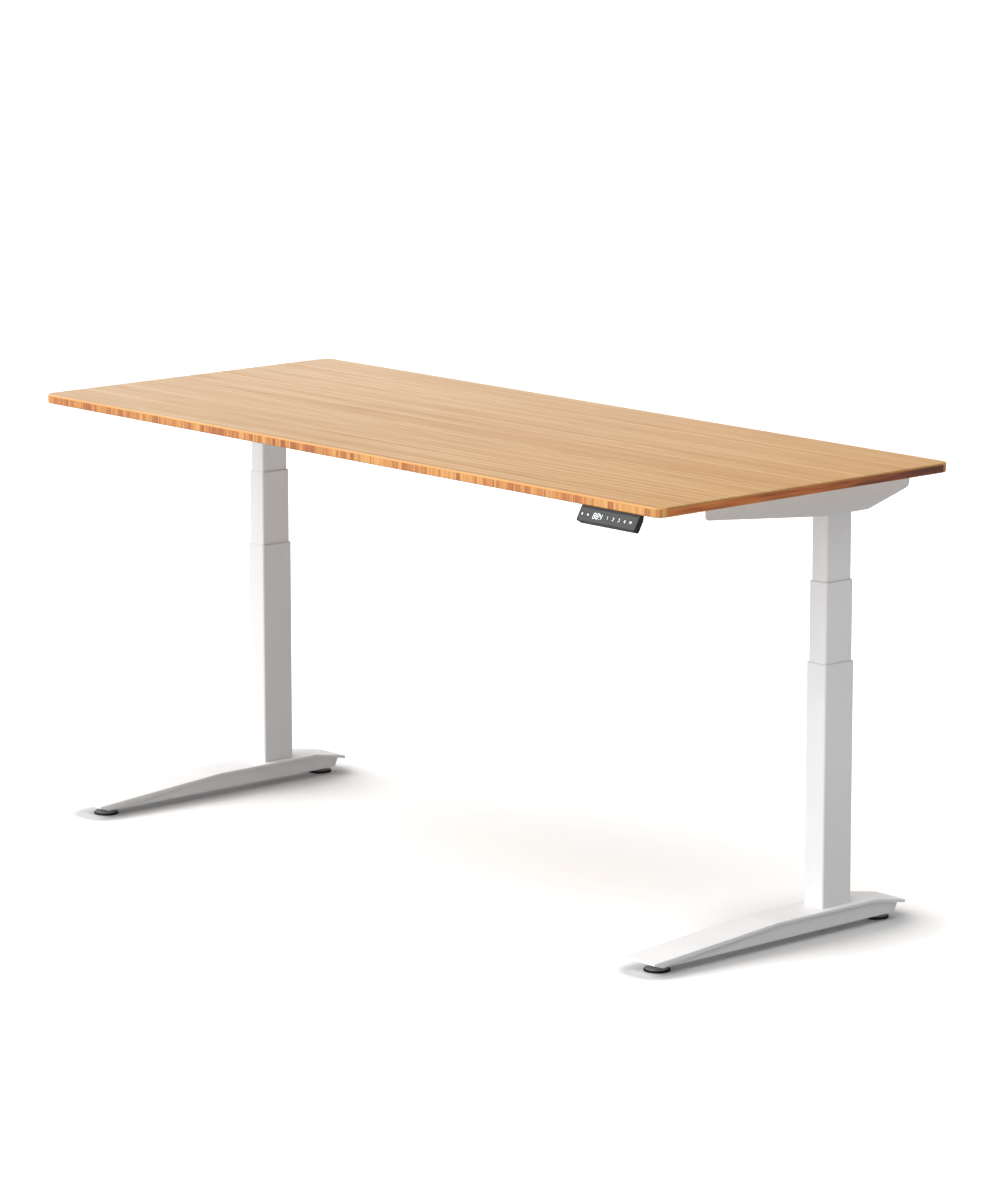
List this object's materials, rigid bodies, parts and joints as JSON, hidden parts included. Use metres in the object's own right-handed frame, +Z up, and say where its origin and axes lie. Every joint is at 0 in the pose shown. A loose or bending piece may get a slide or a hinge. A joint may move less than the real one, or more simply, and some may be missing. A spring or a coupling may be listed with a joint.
{
  "type": "height adjustable desk",
  "caption": "Sit-stand desk: bamboo worktop on a white steel frame with telescoping lift columns, long feet with levelling glides and a push-button handset.",
  "frame": {"origin": "on the floor under the middle of the whole desk, handset included", "axes": "+X to the user's right, +Y to the back of the desk, +Z up"},
  "size_m": [1.8288, 0.7764, 0.884],
  "materials": {
    "bamboo": "satin",
    "white_powder_coat": "satin",
    "bare_steel": "brushed",
    "screw_steel": "zinc plated",
    "guide_plastic": "matte",
    "gear_plastic": "matte",
    "cast_zinc": "cast",
    "motor_steel": "satin",
    "black_plastic": "matte",
    "face_plastic": "satin",
    "key_plastic": "matte",
    "board_green": "satin",
    "glide_grey": "satin",
    "glide_black": "matte",
    "insert_brass": "plain",
    "bearing_steel": "polished"
  },
  "bodies": {
    "base": {"left_foot_channel": "white_powder_coat", "right_foot_channel": "white_powder_coat", "left_foot_cover": "white_powder_coat", "right_foot_cover": "white_powder_coat", "left_outer_column": "white_powder_coat", "right_outer_column": "white_powder_coat", "column_base_plates": "bare_steel", "foot_bolts": "screw_steel", "glide_nuts": "bare_steel", "spindle_support_tubes": "bare_steel"},
    "left_middle": {"left_middle_column": "white_powder_coat", "left_spindle_carrier": "bare_steel", "left_column_guides": "guide_plastic"},
    "right_middle": {"right_middle_column": "white_powder_coat", "right_spindle_carrier": "bare_steel", "right_column_guides": "guide_plastic"},
    "top": {"desktop": "bamboo", "left_inner_column": "white_powder_coat", "right_inner_column": "white_powder_coat", "left_side_bracket": "white_powder_coat", "right_side_bracket": "white_powder_coat", "column_head_plates": "white_powder_coat", "frame_end_rails": "white_powder_coat", "frame_center_rails": "white_powder_coat", "gearbox_housings": "cast_zinc", "motor_cans": "motor_steel", "motor_covers": "black_plastic", "control_box_base": "black_plastic", "control_box_lid": "black_plastic", "control_board": "board_green", "handset_case": "black_plastic", "handset_face": "face_plastic", "handset_board": "board_green", "desktop_inserts": "insert_brass", "pan_head_screws": "screw_steel", "countersunk_screws": "screw_steel", "spindle_bearings": "bearing_steel"},
    "left_upper_screw": {"left_upper_spindle": "bare_steel", "left_worm_wheel": "gear_plastic"},
    "left_lower_screw": {"left_lower_spindle": "bare_steel"},
    "left_motor_rotor": {"left_motor_shaft": "bare_steel"},
    "right_upper_screw": {"right_upper_spindle": "bare_steel", "right_worm_wheel": "gear_plastic"},
    "right_lower_screw": {"right_lower_spindle": "bare_steel"},
    "right_motor_rotor": {"right_motor_shaft": "bare_steel"},
    "left_front_sole": {"left_front_glide_sole": "glide_black"},
    "left_front_stud": {"left_front_glide_stud": "glide_grey"},
    "left_rear_sole": {"left_rear_glide_sole": "glide_black"},
    "left_rear_stud": {"left_rear_glide_stud": "glide_grey"},
    "right_front_sole": {"right_front_glide_sole": "glide_black"},
    "right_front_stud": {"right_front_glide_stud": "glide_grey"},
    "right_rear_sole": {"right_rear_glide_sole": "glide_black"},
    "right_rear_stud": {"right_rear_glide_stud": "glide_grey"},
    "key_up": {"key_up": "key_plastic"},
    "key_down": {"key_down": "key_plastic"},
    "key_one": {"key_one": "key_plastic"},
    "key_two": {"key_two": "key_plastic"},
    "key_three": {"key_three": "key_plastic"},
    "key_four": {"key_four": "key_plastic"},
    "key_memory": {"key_memory": "key_plastic"}
  },
  "joints": [
    {"name": "left_lift", "type": "slide", "parent": "base", "child": "left_middle", "axis": [0, 0, 1], "range_m": [-0.12, 0.2]},
    {"name": "top_lift", "type": "slide", "parent": "left_middle", "child": "top", "axis": [0, 0, 1], "range_m": [-0.12, 0.2]},
    {"name": "right_lift", "type": "slide", "parent": "base", "child": "right_middle", "axis": [0, 0, 1], "range_m": [-0.12, 0.2]},
    {"name": "left_upper_screw_turn", "type": "hinge", "parent": "top", "child": "left_upper_screw", "pos_m": [-0.8314, 0.15385, 0.84], "axis": [0, 0, 1], "range_deg": [-4321, 7201]},
    {"name": "left_lower_screw_turn", "type": "hinge", "parent": "left_middle", "child": "left_lower_screw", "pos_m": [-0.8314, 0.15385, 0.65], "axis": [0, 0, 1], "range_deg": [-2161, 3601]},
    {"name": "left_motor_turn", "type": "hinge", "parent": "top", "child": "left_motor_rotor", "pos_m": [-0.7614, 0.17485, 0.843], "axis": [1, 0, 0], "range_deg": [-51841, 86401]},
    {"name": "right_upper_screw_turn", "type": "hinge", "parent": "top", "child": "right_upper_screw", "pos_m": [0.8314, 0.15385, 0.84], "axis": [0, 0, 1], "range_deg": [-4321, 7201]},
    {"name": "right_lower_screw_turn", "type": "hinge", "parent": "right_middle", "child": "right_lower_screw", "pos_m": [0.8314, 0.15385, 0.65], "axis": [0, 0, 1], "range_deg": [-2161, 3601]},
    {"name": "right_motor_turn", "type": "hinge", "parent": "top", "child": "right_motor_rotor", "pos_m": [0.7614, 0.17485, 0.843], "axis": [1, 0, 0], "range_deg": [-51841, 86401]},
    {"name": "left_front_glide_drop", "type": "slide", "parent": "base", "child": "left_front_sole", "axis": [0, 0, -1], "range_m": [0, 0.006]},
    {"name": "left_front_glide_turn", "type": "hinge", "parent": "left_front_sole", "child": "left_front_stud", "pos_m": [-0.8314, -0.29275, 0.01], "axis": [0, 0, -1], "range_deg": [0, 1441]},
    {"name": "left_rear_glide_drop", "type": "slide", "parent": "base", "child": "left_rear_sole", "axis": [0, 0, -1], "range_m": [0, 0.006]},
    {"name": "left_rear_glide_turn", "type": "hinge", "parent": "left_rear_sole", "child": "left_rear_stud", "pos_m": [-0.8314, 0.28725, 0.01], "axis": [0, 0, -1], "range_deg": [0, 1441]},
    {"name": "right_front_glide_drop", "type": "slide", "parent": "base", "child": "right_front_sole", "axis": [0, 0, -1], "range_m": [0, 0.006]},
    {"name": "right_front_glide_turn", "type": "hinge", "parent": "right_front_sole", "child": "right_front_stud", "pos_m": [0.8314, -0.29275, 0.01], "axis": [0, 0, -1], "range_deg": [0, 1441]},
    {"name": "right_rear_glide_drop", "type": "slide", "parent": "base", "child": "right_rear_sole", "axis": [0, 0, -1], "range_m": [0, 0.006]},
    {"name": "right_rear_glide_turn", "type": "hinge", "parent": "right_rear_sole", "child": "right_rear_stud", "pos_m": [0.8314, 0.28725, 0.01], "axis": [0, 0, -1], "range_deg": [0, 1441]},
    {"name": "key_up_press", "type": "slide", "parent": "top", "child": "key_up", "axis": [0, 0.8704, -0.4924], "range_m": [0, 0.0005], "stiffness_N_per_m": 400, "springref_m": -0.0015},
    {"name": "key_down_press", "type": "slide", "parent": "top", "child": "key_down", "axis": [0, 0.8704, -0.4924], "range_m": [0, 0.0005], "stiffness_N_per_m": 400, "springref_m": -0.0015},
    {"name": "key_one_press", "type": "slide", "parent": "top", "child": "key_one", "axis": [0, 0.8704, -0.4924], "range_m": [0, 0.0005], "stiffness_N_per_m": 400, "springref_m": -0.0015},
    {"name": "key_two_press", "type": "slide", "parent": "top", "child": "key_two", "axis": [0, 0.8704, -0.4924], "range_m": [0, 0.0005], "stiffness_N_per_m": 400, "springref_m": -0.0015},
    {"name": "key_three_press", "type": "slide", "parent": "top", "child": "key_three", "axis": [0, 0.8704, -0.4924], "range_m": [0, 0.0005], "stiffness_N_per_m": 400, "springref_m": -0.0015},
    {"name": "key_four_press", "type": "slide", "parent": "top", "child": "key_four", "axis": [0, 0.8704, -0.4924], "range_m": [0, 0.0005], "stiffness_N_per_m": 400, "springref_m": -0.0015},
    {"name": "key_memory_press", "type": "slide", "parent": "top", "child": "key_memory", "axis": [0, 0.8704, -0.4924], "range_m": [0, 0.0005], "stiffness_N_per_m": 400, "springref_m": -0.0015}
  ],
  "couplings": [
    {"joint": "top_lift", "follows": "left_lift", "ratio": 1},
    {"joint": "right_lift", "follows": "left_lift", "ratio": 1},
    {"joint": "left_upper_screw_turn", "follows": "left_lift", "rad_per_m": 628.32},
    {"joint": "left_lower_screw_turn", "follows": "left_lift", "rad_per_m": 314.16},
    {"joint": "left_motor_turn", "follows": "left_lift", "rad_per_m": 7539.8},
    {"joint": "right_upper_screw_turn", "follows": "left_lift", "rad_per_m": 628.32},
    {"joint": "right_lower_screw_turn", "follows": "left_lift", "rad_per_m": 314.16},
    {"joint": "right_motor_turn", "follows": "left_lift", "rad_per_m": 7539.8},
    {"joint": "left_front_glide_turn", "follows": "left_front_glide_drop", "rad_per_m": 4188.8},
    {"joint": "left_rear_glide_turn", "follows": "left_rear_glide_drop", "rad_per_m": 4188.8},
    {"joint": "right_front_glide_turn", "follows": "right_front_glide_drop", "rad_per_m": 4188.8},
    {"joint": "right_rear_glide_turn", "follows": "right_rear_glide_drop", "rad_per_m": 4188.8}
  ]
}
